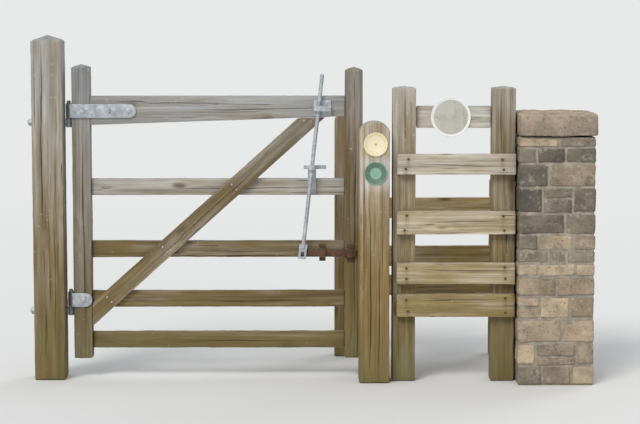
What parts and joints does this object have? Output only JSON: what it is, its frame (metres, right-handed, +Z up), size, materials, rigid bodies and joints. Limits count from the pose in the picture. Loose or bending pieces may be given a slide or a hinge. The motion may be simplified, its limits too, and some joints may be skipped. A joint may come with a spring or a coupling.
{
  "type": "timber kissing gate with stone pier",
  "caption": "Timber kissing gate: braced leaf with a long latch lever, clapping posts, railed panel and pocket, and a squared rubble stone pier.",
  "frame": {"origin": "centre of the hanging post's foot, at ground level", "axes": "+X along the fence line from the hanging post to the pier, +Y into the pocket, +Z up"},
  "size_m": [2.308, 0.7903, 1.41],
  "materials": {
    "grey_timber": "weathered silver-grey oak, rough sawn",
    "leaf_timber": "weathered oak, damp and olive-brown low down",
    "brown_timber": "tan-brown oak with drying cracks",
    "panel_timber": "weathered oak with a warm, pinkish grey face",
    "galvanised_steel": "dull weathered zinc",
    "rusty_steel": "dark, lightly rusted",
    "yellow_plastic": "sun-faded plastic",
    "green_plastic": "sun-faded plastic",
    "white_enamel": "chalky white enamel",
    "rubble_stone": "squared limestone rubble in lime mortar",
    "cap_stone": "hand-dressed limestone slab"
  },
  "bodies": {
    "gateway": {"hanging_post": "grey_timber", "upper_hinge_hook": "galvanised_steel", "lower_hinge_hook": "galvanised_steel", "near_clapping_post": "brown_timber", "yellow_waymark": "yellow_plastic", "green_waymark": "green_plastic", "panel_left_post": "panel_timber", "panel_right_post": "panel_timber", "panel_top_rail": "panel_timber", "plaque": "white_enamel", "panel_board_1": "panel_timber", "panel_board_2": "panel_timber", "panel_board_3": "panel_timber", "panel_board_4": "panel_timber", "far_clapping_post": "brown_timber", "rear_corner_post": "panel_timber", "rear_rail_1": "panel_timber", "rear_rail_2": "panel_timber", "rear_rail_3": "panel_timber", "end_rail_1": "panel_timber", "end_rail_2": "panel_timber", "end_rail_3": "panel_timber", "pier_shaft": "rubble_stone", "pier_cap": "cap_stone"},
    "leaf": {"leaf_heel_stile": "grey_timber", "leaf_head_stile": "grey_timber", "leaf_top_rail": "grey_timber", "leaf_rail_2": "leaf_timber", "leaf_rail_3": "leaf_timber", "leaf_rail_4": "leaf_timber", "leaf_rail_5": "leaf_timber", "leaf_brace": "leaf_timber", "upper_hinge_strap": "galvanised_steel", "lower_hinge_strap": "galvanised_steel", "lever_guide": "galvanised_steel", "lever_bracket": "galvanised_steel", "bolt_guides": "rusty_steel"},
    "lever": {"latch_lever": "galvanised_steel"},
    "bolt": {"latch_bolt": "rusty_steel"}
  },
  "joints": [
    {"name": "leaf_swing", "type": "hinge", "parent": "gateway", "child": "leaf", "pos_m": [0.08, 0.025, 0.7], "axis": [0, 0, 1], "range_deg": [0, 21]},
    {"name": "lever_swing", "type": "hinge", "parent": "leaf", "child": "lever", "pos_m": [1.072, -0.03, 0.869], "axis": [0, 1, 0], "range_deg": [0, 7]},
    {"name": "bolt_slide", "type": "slide", "parent": "leaf", "child": "bolt", "axis": [1, 0, 0], "range_m": [-0.0446, 0]}
  ],
  "couplings": [
    {"joint": "bolt_slide", "follows": "lever_swing", "m_per_rad": -0.36196}
  ]
}
